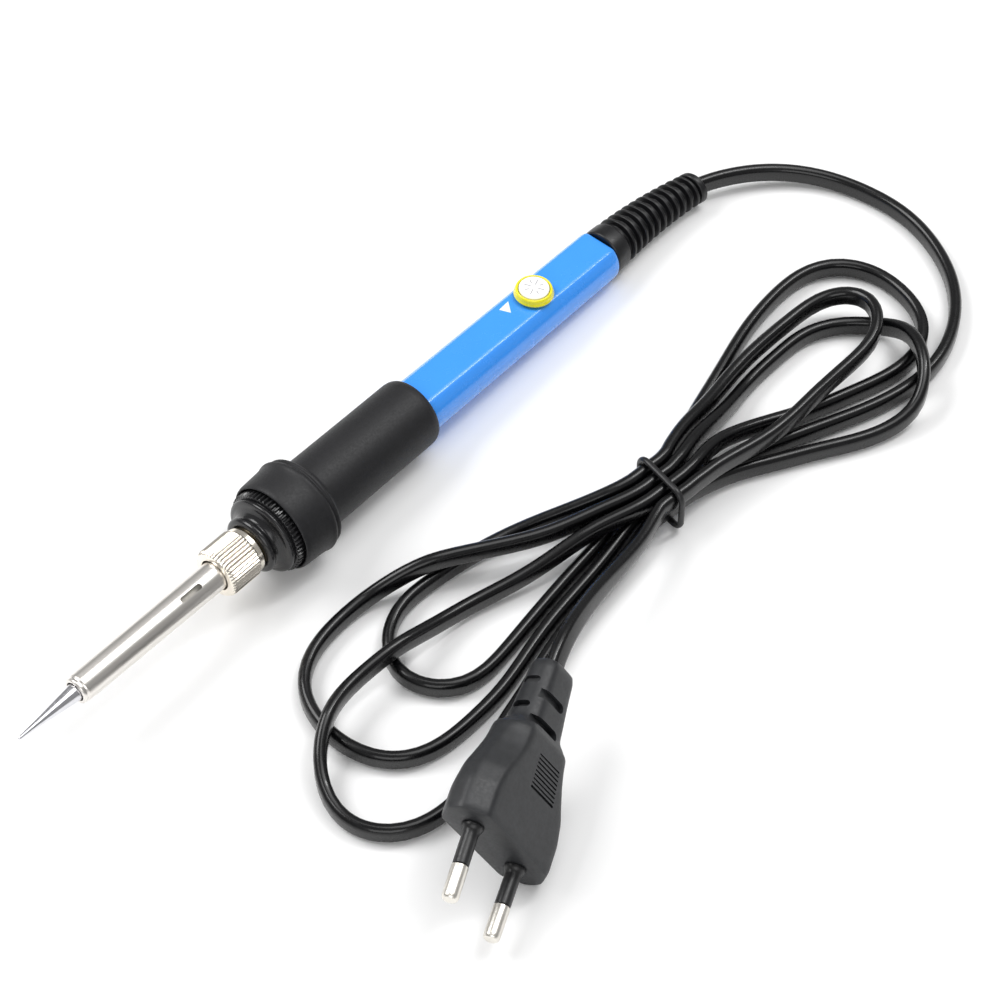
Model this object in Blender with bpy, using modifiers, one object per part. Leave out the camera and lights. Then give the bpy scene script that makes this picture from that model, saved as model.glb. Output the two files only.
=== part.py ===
"""Mains soldering iron with a temperature knob, its flat cord and its two-pin plug.

The iron lies on a table: its grip collar and the rear of its handle touch it. Dimensions are in
millimetres along the iron's own axis, measured from the front of the grip collar towards the cord.
"""

import math

import bmesh
import bpy
import numpy as np
from mathutils import Matrix, Vector

MM = 0.001
STEPS = 40  # facets round a turned piece
GAP = 0.3  # clearance between pieces that touch

# Iron
TIP_END = -90.4
COLLAR_R, COLLAR_AT = 13.15, 3.9
HANDLE_FRONT_R, HANDLE_REAR_R = 7.7, 7.1
HANDLE_FRONT, HANDLE_REAR = 25.3, 120.5
HANDLE_BORE_R, HANDLE_CEILING = 5.6, 4.6
FLAT_FRONT, FLAT_FRONT_H, FLAT_SLOPE = 47.0, 6.15, -0.0087
KNOB_AT, KNOB_R, KNOB_TOP = 93.2, 5.25, 8.0
NUT_R, NUT_FLUTES = 6.65, 44
RING_R, RING_TEETH = 11.2, 56
BOOT_START, BOOT_END, BOOT_RIBS = 120.8, 157.4, 11
BOOT_STRAIGHT, BOOT_BEND = 130.0, 0.0036  # the boot's rear curves sideways, mm per mm squared
TILT = math.atan((COLLAR_R - HANDLE_REAR_R) / (HANDLE_REAR - COLLAR_AT))
AXIS_H = 0.02 + COLLAR_AT * math.sin(TILT) + COLLAR_R * math.cos(TILT)
MIDDLE = 0.5 * (TIP_END + BOOT_END) * math.cos(TILT) + 0.12

# Plug
PLUG_FACE = Vector((-40.1, -101.2, 15.8))
PIN_WAY = Vector((-0.910, -0.401, -0.102))
ACROSS = Vector((0.285, -0.429, -0.857))
PLUG_LENGTH = 47.5
PIN_PITCH, PIN_LENGTH, PIN_LEAN = 18.6, 19.0, math.radians(1.2)

# Cord: flat twin flex standing on its narrow edge
FLEX_WIDE, FLEX_TALL = 3.2, 5.4
TIE_CENTRE = Vector((68.7, -62.0))
TIE_WAY = Vector((0.993, -0.115))
TIE_SIDE = Vector((0.115, 0.993))
TIE_R = 0.75
LOW, HIGH = 4.55, 10.35  # heights of the two layers under the tie


def clear_scene():
    for thing in list(bpy.data.objects):
        bpy.data.objects.remove(thing, do_unlink=True)


def collection(name):
    made = bpy.data.collections.new(name)
    bpy.context.scene.collection.children.link(made)
    return made


clear_scene()
PARTS = collection("soldering_iron")
CUTTERS = collection("cutters")


def material(name, colour, roughness, metallic=0.0, alpha=1.0):
    made = bpy.data.materials.new(name)
    made.use_nodes = True
    shader = made.node_tree.nodes["Principled BSDF"]
    shader.inputs["Base Color"].default_value = (*colour, 1.0)
    shader.inputs["Roughness"].default_value = roughness
    shader.inputs["Metallic"].default_value = metallic
    shader.inputs["Alpha"].default_value = alpha
    return made


CHROME = material("chrome", (0.78, 0.78, 0.80), 0.12, 1.0)
STEEL = material("satin_steel", (0.62, 0.60, 0.57), 0.34, 1.0)
CHAMPAGNE = material("champagne_plate", (0.74, 0.68, 0.58), 0.30, 1.0)
BRASS = material("brass", (0.72, 0.55, 0.26), 0.3, 1.0)
NECK = material("neck_black", (0.02, 0.02, 0.022), 0.2)
RUBBER = material("grip_rubber", (0.03, 0.03, 0.032), 0.75)
BLUE = material("handle_blue", (0.05, 0.30, 0.85), 0.28)
YELLOW = material("knob_yellow", (0.85, 0.72, 0.12), 0.25, 0.0, 0.85)
WHITE = material("disc_white", (0.90, 0.90, 0.88), 0.4)
BOOT = material("boot_black", (0.025, 0.025, 0.027), 0.6)
FLEX = material("flex_black", (0.02, 0.02, 0.022), 0.4)
PLUG = material("plug_black", (0.03, 0.03, 0.032), 0.5)
CERAMIC = material("ceramic", (0.88, 0.86, 0.80), 0.6)
BOARD = material("board_green", (0.05, 0.28, 0.12), 0.5)
GREY = material("component_grey", (0.18, 0.18, 0.2), 0.5)
COPPER = material("lead_insulation", (0.80, 0.78, 0.72), 0.5)


def empty(name, parent=None, location=(0, 0, 0)):
    made = bpy.data.objects.new(name, None)
    made.location = Vector(location) * MM
    made.parent = parent
    PARTS.objects.link(made)
    return made


def place(thing, parent, where, paint=None):
    """Links a finished object to its collection, as a part or as a hidden cutter."""
    where.objects.link(thing)
    thing.parent = parent
    if where is CUTTERS:
        thing.hide_render = True
        thing.display_type = "WIRE"
    if paint is not None:
        thing.data.materials.append(paint)
    return thing


def turned(name, outline, parent, paint=None, along=True, steps=STEPS, where=PARTS):
    """Turns (radius, station) points, given front to rear outside and rear to front inside."""
    mesh = bpy.data.meshes.new(name)
    points = [(r * MM, 0, -s * MM) for r, s in outline]
    if not along:
        points = [(r * MM, 0, h * MM) for r, h in outline]
    edges = [(i, i + 1) for i in range(len(points) - 1)]
    if outline[0][0] > 0:
        edges.append((len(points) - 1, 0))
    mesh.from_pydata(points, edges, [])
    made = bpy.data.objects.new(name, mesh)
    spin = made.modifiers.new("turn", "SCREW")
    spin.steps = steps
    spin.render_steps = steps
    spin.use_merge_vertices = True
    spin.merge_threshold = 1e-5
    spin.use_smooth_shade = True
    if along:
        made.rotation_euler = (0, -math.pi / 2, 0)
    return place(made, parent, where, paint)


def block(name, size, centre, parent, paint=None, bevel=0.0, where=PARTS):
    mesh = bpy.data.meshes.new(name)
    work = bmesh.new()
    bmesh.ops.create_cube(work, size=1.0)
    bmesh.ops.scale(work, vec=Vector(size) * MM, verts=work.verts)
    work.to_mesh(mesh)
    work.free()
    made = bpy.data.objects.new(name, mesh)
    made.location = Vector(centre) * MM
    if bevel:
        soft = made.modifiers.new("edges", "BEVEL")
        soft.width = bevel * MM
        soft.segments = 2
    return place(made, parent, where, paint)


def rod(name, radius, start, end, parent, paint=None, side=0.0, height=0.0, steps=16, where=PARTS):
    """A plain cylinder along the iron's axis."""
    mesh = bpy.data.meshes.new(name)
    work = bmesh.new()
    length = (end - start) * MM
    bmesh.ops.create_cone(
        work, cap_ends=True, segments=steps, radius1=radius * MM, radius2=radius * MM, depth=length
    )
    bmesh.ops.rotate(work, matrix=Matrix.Rotation(math.pi / 2, 3, "Y"), verts=work.verts)
    mesh.shade_smooth()
    work.to_mesh(mesh)
    work.free()
    made = bpy.data.objects.new(name, mesh)
    made.location = Vector((0.5 * (start + end), side, height)) * MM
    return place(made, parent, where, paint)


def cut(target, cutter, name):
    step = target.modifiers.new(name, "BOOLEAN")
    step.operation = "DIFFERENCE"
    step.solver = "EXACT"
    step.object = cutter


def flute_cutter(name, count, radius, half, start, end, parent):
    """Square bars set on edge round the axis: each leaves one straight groove."""
    mesh = bpy.data.meshes.new(name)
    work = bmesh.new()
    side = half * math.sqrt(2) * MM
    for i in range(count):
        bar = bmesh.ops.create_cube(work, size=1.0)["verts"]
        bmesh.ops.scale(work, vec=((end - start) * MM, side, side), verts=bar)
        turn = Matrix.Rotation(2 * math.pi * (i + 0.5) / count, 4, "X")
        shift = Matrix.Translation((0.5 * (start + end) * MM, 0, radius * MM))
        edge = Matrix.Rotation(math.pi / 4, 4, "X")
        bmesh.ops.transform(work, matrix=turn @ shift @ edge, verts=bar)
    work.to_mesh(mesh)
    work.free()
    return place(bpy.data.objects.new(name, mesh), parent, CUTTERS)


def axis_height(station):
    """Height of the iron's axis above the table."""
    return AXIS_H - station * math.sin(TILT)


def handle_radius(station):
    share = (station - HANDLE_FRONT) / (HANDLE_REAR - HANDLE_FRONT)
    return HANDLE_FRONT_R + share * (HANDLE_REAR_R - HANDLE_FRONT_R)


def boot_side(station):
    return -BOOT_BEND * max(0.0, station - BOOT_STRAIGHT) ** 2


origin = empty("object_origin", None, (-MIDDLE, 0, 0))
iron = empty("iron_axis", origin, (0, 0, AXIS_H))
iron.rotation_euler = (0, TILT, 0)
knob_axis = empty("knob_axis", iron, (KNOB_AT, 0, 0))

# ---------------------------------------------------------------- tip, heater and barrel
turned(
    "soldering_tip",
    [
        (0, TIP_END),
        (0.3, TIP_END + 0.05),
        (0.45, TIP_END + 0.4),
        (1.05, -83.2),
        (2.3, -72.6),
        (2.3, -70.6),
        (3.25, -69.9),
        (3.25, -46.0),
        (2.15, -46.0),
        (2.15, -68.5),
        (0, -68.5),
    ],
    iron,
    CHROME,
)
rod("heater_rod", 1.85, -67.8, -8.0, iron, CERAMIC, steps=24)
turned("heater_base", [(2.15, -15), (3.6, -15), (3.6, -5), (2.15, -5)], iron, CERAMIC, steps=32)
barrel = turned(
    "barrel_sleeve",
    [
        (2.6, -72.2),
        (3.2, -72.2),
        (3.5, -71.7),
        (3.42, -71.2),
        (3.72, -70.7),
        (3.9, -17.8),
        (5.15, -17.8),
        (5.15, -16.9),
        (3.55, -16.9),
        (3.55, -70.1),
        (2.6, -70.9),
    ],
    iron,
    STEEL,
)
slot = block("slot_cutter", (6.6, 1.25, 4.0), (0, 0, 4.5), None, where=CUTTERS)
slot_turn = empty("slot_axis", iron, (-34.8, 0, 0))
slot_turn.rotation_euler = (math.radians(24), 0, 0)
slot.parent = slot_turn
cut(barrel, slot, "vent_slot")

nut = turned(
    "barrel_nut",
    [
        (4.3, -25.3),
        (5.6, -25.3),
        (NUT_R, -24.3),
        (NUT_R, -15.8),
        (5.95, -15.6),
        (5.95, -14.0),
        (5.5, -14.0),
        (5.5, -18.1),
        (4.3, -18.1),
    ],
    iron,
    CHAMPAGNE,
)
cut(nut, flute_cutter("nut_flutes", NUT_FLUTES, NUT_R + 0.05, 0.36, -25.9, -15.6, iron), "flutes")
turned(
    "threaded_bush",
    [(3.9, -16.6), (4.9, -16.6), (5.2, -16.3), (5.2, 4.0), (3.9, 4.0)],
    iron,
    BRASS,
    steps=32,
)

# ---------------------------------------------------------------- neck, grip and handle
cap = turned(
    "front_cap",
    [
        (5.5, -13.4),
        (6.8, -13.4),
        (7.5, -13.0),
        (7.75, -12.4),
        (7.5, -11.8),
        (7.0, -11.5),
        (7.3, -10.9),
        (8.3, -10.1),
        (9.4, -9.4),
        (10.15, -9.1),
        (10.4, -8.6),
        (10.15, -8.1),
        (9.8, -7.6),
        (10.2, -7.5),
        (RING_R, -7.3),
        (RING_R, -3.9),
        (10.9, -3.6),
        (7.0, -3.6),
        (7.0, 25.0),
        (5.5, 25.0),
    ],
    iron,
    NECK,
)
cut(cap, flute_cutter("ring_teeth", RING_TEETH, RING_R + 0.05, 0.42, -7.9, -3.0, iron), "teeth")
turned(
    "grip_sleeve",
    [
        (7.3, -3.2),
        (11.5, -3.2),
        (11.5, -5.1),
        (11.7, -5.4),
        (12.1, -5.2),
        (12.35, -4.4),
        (12.5, -1.8),
        (12.65, 0.6),
        (12.85, 2.6),
        (COLLAR_R, COLLAR_AT),
        (13.0, 4.5),
        (12.3, 5.1),
        (12.3, 5.4),
        (12.5, 5.7),
        (12.4, 6.3),
        (11.9, 6.7),
        (9.9, 7.4),
        (9.7, 7.6),
        (9.6, 45.0),
        (9.3, 46.1),
        (8.7, 46.7),
        (8.0, 46.7),
        (8.0, 25.0),
        (7.3, 25.0),
    ],
    iron,
    RUBBER,
)
handle = turned(
    "handle_shell",
    [
        (5.0, HANDLE_FRONT),
        (7.4, HANDLE_FRONT),
        (HANDLE_FRONT_R, HANDLE_FRONT + 0.3),
        (handle_radius(90.0), 90.0),
        (handle_radius(HANDLE_REAR - 0.9), HANDLE_REAR - 0.9),
        (HANDLE_REAR_R - 0.3, HANDLE_REAR - 0.3),
        (HANDLE_REAR_R - 0.8, HANDLE_REAR),
        (5.0, HANDLE_REAR),
    ],
    iron,
    BLUE,
)
flat_axis = empty("flat_axis", iron, (FLAT_FRONT, 0, FLAT_FRONT_H))
flat_axis.rotation_euler = (0, -math.atan(FLAT_SLOPE), 0)
flat_cutter = block("flat_cutter", (90.0, 24.0, 6.0), (45.0, 0, 3.0), flat_axis, where=CUTTERS)
cut(handle, flat_cutter, "top_flat")
bore = rod("bore_cutter", HANDLE_BORE_R, 20.0, 126.0, iron, steps=STEPS, where=CUTTERS)
ceiling = block("ceiling_cutter", (120.0, 20.0, 6.0), (73.0, 0, HANDLE_CEILING + 3.0), iron, where=CUTTERS)
cut(bore, ceiling, "ceiling")
cut(handle, bore, "bore")
knob_hole = turned(
    "knob_hole_cutter",
    [(0, 9.0), (4.3, 9.0), (4.3, 3.8), (0, 3.8)],
    knob_axis,
    along=False,
    where=CUTTERS,
)
cut(handle, knob_hole, "knob_hole")

# ---------------------------------------------------------------- knob and what it turns
turned(
    "control_knob",
    [
        (0, 7.5),
        (4.1, 7.5),
        (4.1, KNOB_TOP),
        (5.0, KNOB_TOP),
        (KNOB_R, KNOB_TOP - 0.25),
        (KNOB_R, 6.75),
        (5.1, 6.5),
        (4.0, 6.5),
        (4.0, 4.9),
        (1.8, 4.9),
        (1.8, 7.1),
        (0, 7.1),
    ],
    knob_axis,
    YELLOW,
    along=False,
)
turned(
    "knob_disc",
    [(0, 8.4), (3.6, 8.4), (3.8, 8.2), (3.8, 7.8), (0, 7.8)],
    knob_axis,
    WHITE,
    along=False,
)
turned(
    "potentiometer_shaft",
    [(0, 6.8), (1.3, 6.8), (1.5, 6.6), (1.5, 4.5), (0, 4.5)],
    knob_axis,
    STEEL,
    along=False,
    steps=24,
)
turned(
    "potentiometer_body",
    [(0, 4.1), (3.1, 4.1), (3.3, 3.9), (3.3, 0.5), (0, 0.5)],
    knob_axis,
    GREY,
    along=False,
    steps=32,
)

# ---------------------------------------------------------------- circuit inside the handle
block("circuit_board", (34.0, 8.4, 1.0), (91.0, 0, -0.4), iron, BOARD)
block("triac", (4.6, 4.4, 2.8), (83.0, 0, -2.7), iron, GREY, bevel=0.3)
block("capacitor", (7.5, 4.6, 3.0), (102.0, 0, -2.8), iron, BLUE, bevel=0.3)
rod("power_resistor", 1.2, 77.0, 84.0, iron, CERAMIC, height=1.7)
for letter, side in (("a", 1.2), ("b", -1.2)):
    rod(f"heater_lead_{letter}", 0.5, -4.0, 73.6, iron, COPPER, side=side, height=-0.4, steps=12)
    rod(f"mains_core_{letter}", 0.6, 108.4, 117.1, iron, COPPER, side=side, height=-0.4, steps=12)

# ---------------------------------------------------------------- ribbed cord boot
boot_outline = [
    (3.2, 116.0),
    (4.0, 116.0),
    (4.3, 116.4),
    (4.3, BOOT_START),
    (6.3, BOOT_START),
    (6.6, BOOT_START + 0.4),
    (6.5, 125.2),
    (6.2, 125.7),
]
RIB_FIRST, RIB_LAST = 126.0, 154.6
rib_pitch = (RIB_LAST - RIB_FIRST) / BOOT_RIBS
for rib in range(BOOT_RIBS):
    rib_at = RIB_FIRST + rib * rib_pitch
    rib_r = 6.3 - 1.6 * rib / (BOOT_RIBS - 1)
    boot_outline += [
        (rib_r - 1.15, rib_at + 0.10 * rib_pitch),
        (rib_r - 1.15, rib_at + 0.52 * rib_pitch),
        (rib_r, rib_at + 0.62 * rib_pitch),
        (rib_r, rib_at + 0.94 * rib_pitch),
    ]
boot_outline += [
    (3.8, RIB_LAST + 0.1),
    (3.8, RIB_LAST + 0.6),
    (4.6, RIB_LAST + 0.9),
    (4.6, BOOT_END - 0.4),
    (4.3, BOOT_END),
    (3.2, BOOT_END),
]
# The bore is divided too, so that it bends with the outside.
boot_outline += [(3.2, BOOT_END - 4.0 * i) for i in range(1, 9)]
boot = turned("cord_boot", boot_outline, iron, BOOT, steps=20)


def bend_boot(thing):
    """Replaces the turned boot by its own mesh, with the rear swept sideways."""
    graph = bpy.context.evaluated_depsgraph_get()
    mesh = bpy.data.meshes.new_from_object(thing.evaluated_get(graph))
    thing.modifiers.clear()
    for vertex in mesh.vertices:
        vertex.co.y += boot_side(-vertex.co.z / MM) * MM
    mesh.shade_smooth()
    thing.data = mesh


bend_boot(boot)

# ---------------------------------------------------------------- plug
PIN_WAY.normalize()
ACROSS = (ACROSS - ACROSS.dot(PIN_WAY) * PIN_WAY).normalized()
WIDE_FACE = PIN_WAY.cross(ACROSS)
plug = empty("plug_axis", origin, PLUG_FACE)
plug.rotation_euler = Matrix((PIN_WAY, ACROSS, WIDE_FACE)).transposed().to_euler()

# (distance behind the face, half width, half thickness, how much the corners are cut, crispness)
PLUG_STATIONS = [
    (0.0, 17.0, 6.2, 4.6, 26),
    (0.7, 17.65, 6.85, 4.6, 26),
    (8.0, 17.6, 6.85, 4.6, 26),
    (13.0, 16.7, 6.85, 4.5, 24),
    (17.0, 15.1, 6.8, 4.3, 22),
    (21.0, 13.3, 6.7, 4.0, 18),
    (24.5, 11.9, 6.5, 3.7, 14),
    (27.0, 10.7, 6.2, 3.4, 12),
    (29.0, 9.1, 5.6, 3.1, 10),
    (31.0, 7.8, 5.0, 2.8, 10),
    (34.0, 7.3, 4.7, 2.6, 10),
    (40.0, 6.6, 4.3, 2.4, 10),
    (46.8, 6.0, 4.0, 2.2, 10),
    (PLUG_LENGTH, 5.4, 3.5, 2.0, 10),
]


def cut_corner_section(half_wide, half_tall, cut_off, crisp, count=40):
    """A rectangle with its corners cut at 45 degrees and every edge a little rounded."""
    points = []
    for i in range(count):
        turn = 2 * math.pi * (i + 0.5) / count
        angle = math.atan2(half_tall * math.sin(turn), half_wide * math.cos(turn))
        y, z = math.cos(angle), math.sin(angle)
        sides = (abs(y) / half_wide) ** crisp + (abs(z) / half_tall) ** crisp
        corners = ((abs(y) + abs(z)) / (half_wide + half_tall - cut_off)) ** crisp
        reach = (sides + corners) ** (-1 / crisp)
        points.append((reach * y, reach * z))
    return points


def loft(name, stations, parent, paint):
    """Skins rounded sections of changing size and squareness, which no single tool does."""
    mesh = bpy.data.meshes.new(name)
    work = bmesh.new()
    rings = []
    for back, wide, tall, cut_off, crisp in stations:
        section = cut_corner_section(wide, tall, cut_off, crisp)
        rings.append([work.verts.new(Vector((-back, y, z)) * MM) for y, z in section])
    for near, far in zip(rings, rings[1:]):
        for i in range(len(near)):
            j = (i + 1) % len(near)
            work.faces.new((near[i], near[j], far[j], far[i]))
    work.faces.new(rings[0])
    work.faces.new(rings[-1])
    bmesh.ops.recalc_face_normals(work, faces=work.faces)
    work.to_mesh(mesh)
    work.free()
    mesh.shade_smooth()
    mesh.set_sharp_from_angle(angle=math.radians(40))
    return place(bpy.data.objects.new(name, mesh), parent, PARTS, paint)


plug_body = loft("plug_body", PLUG_STATIONS, plug, PLUG)
for word, side in (("left", -1), ("right", 1)):
    pin_axis = empty(f"pin_axis_{word}", plug, (0, side * PIN_PITCH / 2, 0))
    pin_axis.rotation_euler = (0, math.pi / 2, -side * PIN_LEAN)
    hole = turned(
        f"pin_hole_{word}",
        [(0, 3.0), (2.2, 3.0), (2.2, -1.2), (1.6, -1.2), (1.6, -8.0), (0, -8.0)],
        pin_axis,
        along=False,
        steps=24,
        where=CUTTERS,
    )
    cut(plug_body, hole, f"pin_hole_{word}")
    turned(
        f"pin_{word}",
        [
            (0, PIN_LENGTH),
            (0.8, PIN_LENGTH - 0.15),
            (1.6, PIN_LENGTH - 0.7),
            (2.0, PIN_LENGTH - 1.8),
            (2.0, 10.3),
            (1.3, 10.3),
            (1.3, -7.5),
            (0, -7.5),
        ],
        pin_axis,
        CHROME,
        along=False,
        steps=24,
    )
    turned(
        f"pin_sleeve_{word}",
        [(1.6, 10.0), (1.9, 10.0), (1.9, -0.9), (1.6, -0.9)],
        pin_axis,
        PLUG,
        along=False,
        steps=24,
    )

# ---------------------------------------------------------------- cord
CORD_END = PLUG_FACE - (PLUG_LENGTH + GAP) * PIN_WAY
TIE_PASSES = [(0.0, LOW), (1.9, HIGH), (-3.7, LOW), (-1.8, HIGH), (3.7, LOW), (5.6, HIGH), (-5.5, HIGH)]
LEAD = [
    (117.5, 0, 7.32),
    (131, 0, 6.62),
    (142, -0.5, 6.05),
    (149, -1.3, 5.7),
    (156, -2.6, 5.35),
    (163, -5.4, 5.1),
    (171, -10.6, 4.8),
    (178, -17.4, 4.2),
    (184, -27, 3.2),
    (187, -39, 2.8),
    (187, -51, 2.8),
    (183, -63, 2.8),
    (175, -75, 2.8),
    (164, -83, 2.8),
    (152, -87, 2.8),
    (141, -87, 2.8),
    (129, -84, 2.8),
    (115, -78, 2.8),
    (102, -72, 2.8),
    (88, -66, 3.4),
]
FRONT_LOOP = [
    (48, -63, 2.9),
    (36, -64, 2.8),
    (22, -65, 2.8),
    (11, -67, 2.8),
    (0, -69, 2.8),
    (-11, -69, 2.8),
    (-22, -68, 2.8),
    (-31, -63, 2.8),
    (-35, -54, 2.8),
    (-35, -44, 2.8),
    (-31, -34, 2.8),
    (-23, -28, 2.8),
    (-12, -26, 2.8),
    (1, -27, 3.5),
    (13, -33, 7.5),
    (26, -41, 8.5),
    (40, -50, 8.8),
    (55, -56, 9.6),
]
REAR_NEAR_LOOP = [
    (85, -58, 9.6),
    (97, -57, 6.5),
    (113, -54, 2.8),
    (125, -54, 2.8),
    (137, -56, 2.8),
    (146, -62, 2.8),
    (151, -70, 4.2),
    (150, -79, 8.2),
    (143, -88, 8.5),
    (134, -93, 5),
    (125, -91, 2.8),
    (116, -87, 2.8),
    (107, -81, 2.8),
    (98, -76, 2.8),
    (88, -70, 3.2),
]
FRONT_WIDE_LOOP = [
    (42, -67, 2.8),
    (32, -68, 2.8),
    (24, -69, 2.8),
    (13, -71, 2.8),
    (1, -74, 2.8),
    (-10, -76, 2.8),
    (-21, -80, 2.8),
    (-31, -81, 2.8),
    (-39, -80, 2.8),
    (-47, -75, 2.8),
    (-51, -66, 2.8),
    (-48, -56, 3.5),
    (-43, -50, 6),
    (-36, -46, 8.5),
    (-25, -43, 7),
    (-15, -44, 8.5),
    (-3, -45, 6.5),
    (14, -47, 3.5),
    (28, -52, 5),
    (42, -56, 7.4),
    (55, -60, 9.6),
]
REAR_LOOP = [
    (90, -63, 7.6),
    (102, -66, 5),
    (116, -72, 3.5),
    (129, -77, 2.8),
    (141, -81, 2.8),
    (151, -81, 2.8),
    (159, -77, 2.8),
    (164, -67, 2.8),
    (165, -57, 2.8),
    (161, -48, 2.8),
    (153, -43, 2.8),
    (142, -42, 2.8),
    (129, -43, 2.8),
    (116, -46, 2.8),
    (104, -49, 2.8),
    (92, -52, 3.0),
]
FRONT_SMALL_LOOP = [
    (52, -59, 3.2),
    (42, -59, 2.8),
    (31, -60, 2.8),
    (20, -61, 2.8),
    (9, -62, 2.8),
    (-2, -62, 2.8),
    (-9, -57, 2.8),
    (-12, -49, 2.8),
    (-9, -41, 2.8),
    (-4, -37, 2.8),
    (5, -34, 2.8),
    (14, -35, 2.8),
    (26, -37, 2.8),
    (39, -42, 4.5),
    (54, -51, 8),
]
REAR_TIGHT_LOOP = [
    (85, -55, 9.4),
    (98, -54, 7.5),
    (112, -52, 6),
    (126, -52, 5.5),
    (140, -52, 5.8),
    (148, -55, 7.4),
    (152, -62, 8.5),
    (149, -69, 8.7),
    (141, -73, 8.7),
    (130, -73, 8.6),
    (116, -73, 8.7),
    (102, -73, 9.7),
    (91, -71, 9.6),
    (80, -68, 10.2),
]
PLUG_LEAD = [
    (56, -69, 10.6),
    (40, -71.5, 13),
    (26, -74.5, 17.2),
    (14, -78, 20.6),
]
RUNS = [
    LEAD,
    FRONT_LOOP,
    REAR_NEAR_LOOP,
    FRONT_WIDE_LOOP,
    REAR_LOOP,
    FRONT_SMALL_LOOP,
    REAR_TIGHT_LOOP,
    PLUG_LEAD,
]


def route_points():
    """All of the cord's route points, and which of them stay where they are."""
    points, held = [], []
    for run, points_of_run in enumerate(RUNS):
        for i, point in enumerate(points_of_run):
            points.append(point)
            held.append(run == 0 and i < 6)
        if run == len(TIE_PASSES):
            continue
        side, height = TIE_PASSES[run]
        centre = TIE_CENTRE + TIE_SIDE * side
        way = 1 if centre.x > points[-1][0] else -1
        for step in (-6, 0, 6):
            spot = centre + TIE_WAY * step * way
            points.append((spot.x, spot.y, height))
            held.append(True)
    points.append(tuple(CORD_END + 3.0 * -PIN_WAY))
    points.append(tuple(CORD_END))
    held += [True, True]
    return np.array(points), np.array(held)


def smooth_curve(points, per_span=12):
    """Centripetal Catmull-Rom curve through the points."""
    ends = np.vstack([2 * points[0] - points[1], points, 2 * points[-1] - points[-2]])
    curve = []
    for a, b, c, d in zip(ends, ends[1:], ends[2:], ends[3:]):
        t1 = np.linalg.norm(b - a) ** 0.5
        t2 = t1 + np.linalg.norm(c - b) ** 0.5
        t3 = t2 + np.linalg.norm(d - c) ** 0.5
        for t in np.linspace(t1, t2, per_span, endpoint=False):
            ab = (t1 - t) / t1 * a + t / t1 * b
            bc = (t2 - t) / (t2 - t1) * b + (t - t1) / (t2 - t1) * c
            cd = (t3 - t) / (t3 - t2) * c + (t - t2) / (t3 - t2) * d
            abc = (t2 - t) / t2 * ab + t / t2 * bc
            bcd = (t3 - t) / (t3 - t1) * bc + (t - t1) / (t3 - t1) * cd
            curve.append((t2 - t) / (t2 - t1) * abc + (t - t1) / (t2 - t1) * bcd)
    curve.append(points[-1])
    return np.array(curve)


def evenly(curve, step):
    along = np.concatenate([[0], np.cumsum(np.linalg.norm(np.diff(curve, axis=0), axis=1))])
    wanted = np.linspace(0, along[-1], int(round(along[-1] / step)) + 1)
    return np.stack([np.interp(wanted, along, curve[:, k]) for k in range(3)], 1)


def settle(route, held, rounds=400, clearance=0.95):
    """Lets the strands of the flex push each other apart, over and beside one another."""
    core = FLEX_TALL - FLEX_WIDE
    floor = FLEX_TALL / 2 + 0.05
    start = evenly(smooth_curve(route), 3.0)
    apart = np.linalg.norm(start[:, None] - route[held][None], axis=2).min(1)
    free = (apart > 2.2).astype(float)[:, None]
    curve = start.copy()
    first, second = np.triu_indices(len(curve), 7)
    for _ in range(rounds):
        bend = np.zeros_like(curve)
        bend[1:-1] = curve[:-2] + curve[2:] - 2 * curve[1:-1]
        twice = np.zeros_like(curve)
        twice[1:-1] = bend[:-2] + bend[2:] - 2 * bend[1:-1]
        curve += (-0.045 * twice + (start - curve) * np.array([0.012, 0.012, 0.004])) * free
        gap = curve[first] - curve[second]
        rise = np.maximum(0, np.abs(gap[:, 2]) - core)
        near = np.sqrt(gap[:, 0] ** 2 + gap[:, 1] ** 2 + rise**2)
        touch = near < FLEX_WIDE + clearance
        a, b = first[touch], second[touch]
        close = np.maximum(near[touch], 1e-3)
        need = FLEX_WIDE + clearance - near[touch]
        upward = np.where(gap[touch, 2] >= 0, 1.0, -1.0)
        push = np.stack([gap[touch, 0], gap[touch, 1], upward * rise[touch]], 1) / close[:, None]
        heading = np.gradient(curve, axis=0)[:, :2]
        heading /= np.maximum(np.linalg.norm(heading, axis=1, keepdims=True), 1e-6)
        cross = np.abs(heading[a, 0] * heading[b, 1] - heading[a, 1] * heading[b, 0]) > 0.3
        push[cross] = 0
        push[cross, 2] = upward[cross]
        need = np.where(cross, np.minimum(need, 1.0), need)
        move = push * (0.25 * need)[:, None]
        total = np.zeros_like(curve)
        count = np.zeros(len(curve))
        np.add.at(total, a, move)
        np.add.at(total, b, -move)
        np.add.at(count, a, 1)
        np.add.at(count, b, 1)
        share = np.minimum(count, 2) / np.maximum(count, 1)
        curve += total * share[:, None] * free
        curve[:, 2] = np.maximum(curve[:, 2], floor)
        fixed = free[:, 0] == 0
        curve[fixed] = start[fixed]
    return curve


def thin_out(curve, longest=24.0, off=0.4):
    """Keeps the fewest points whose chords stay close to the curve."""
    kept = [0]
    while kept[-1] < len(curve) - 1:
        here = kept[-1]
        best = here + 1
        for ahead in range(here + 2, len(curve)):
            chord = curve[ahead] - curve[here]
            length = np.linalg.norm(chord)
            inner = curve[here + 1 : ahead] - curve[here]
            miss = np.linalg.norm(np.cross(inner, chord / length), axis=1).max()
            if length > longest or miss > off:
                break
            best = ahead
        kept.append(best)
    return curve[kept]


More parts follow.
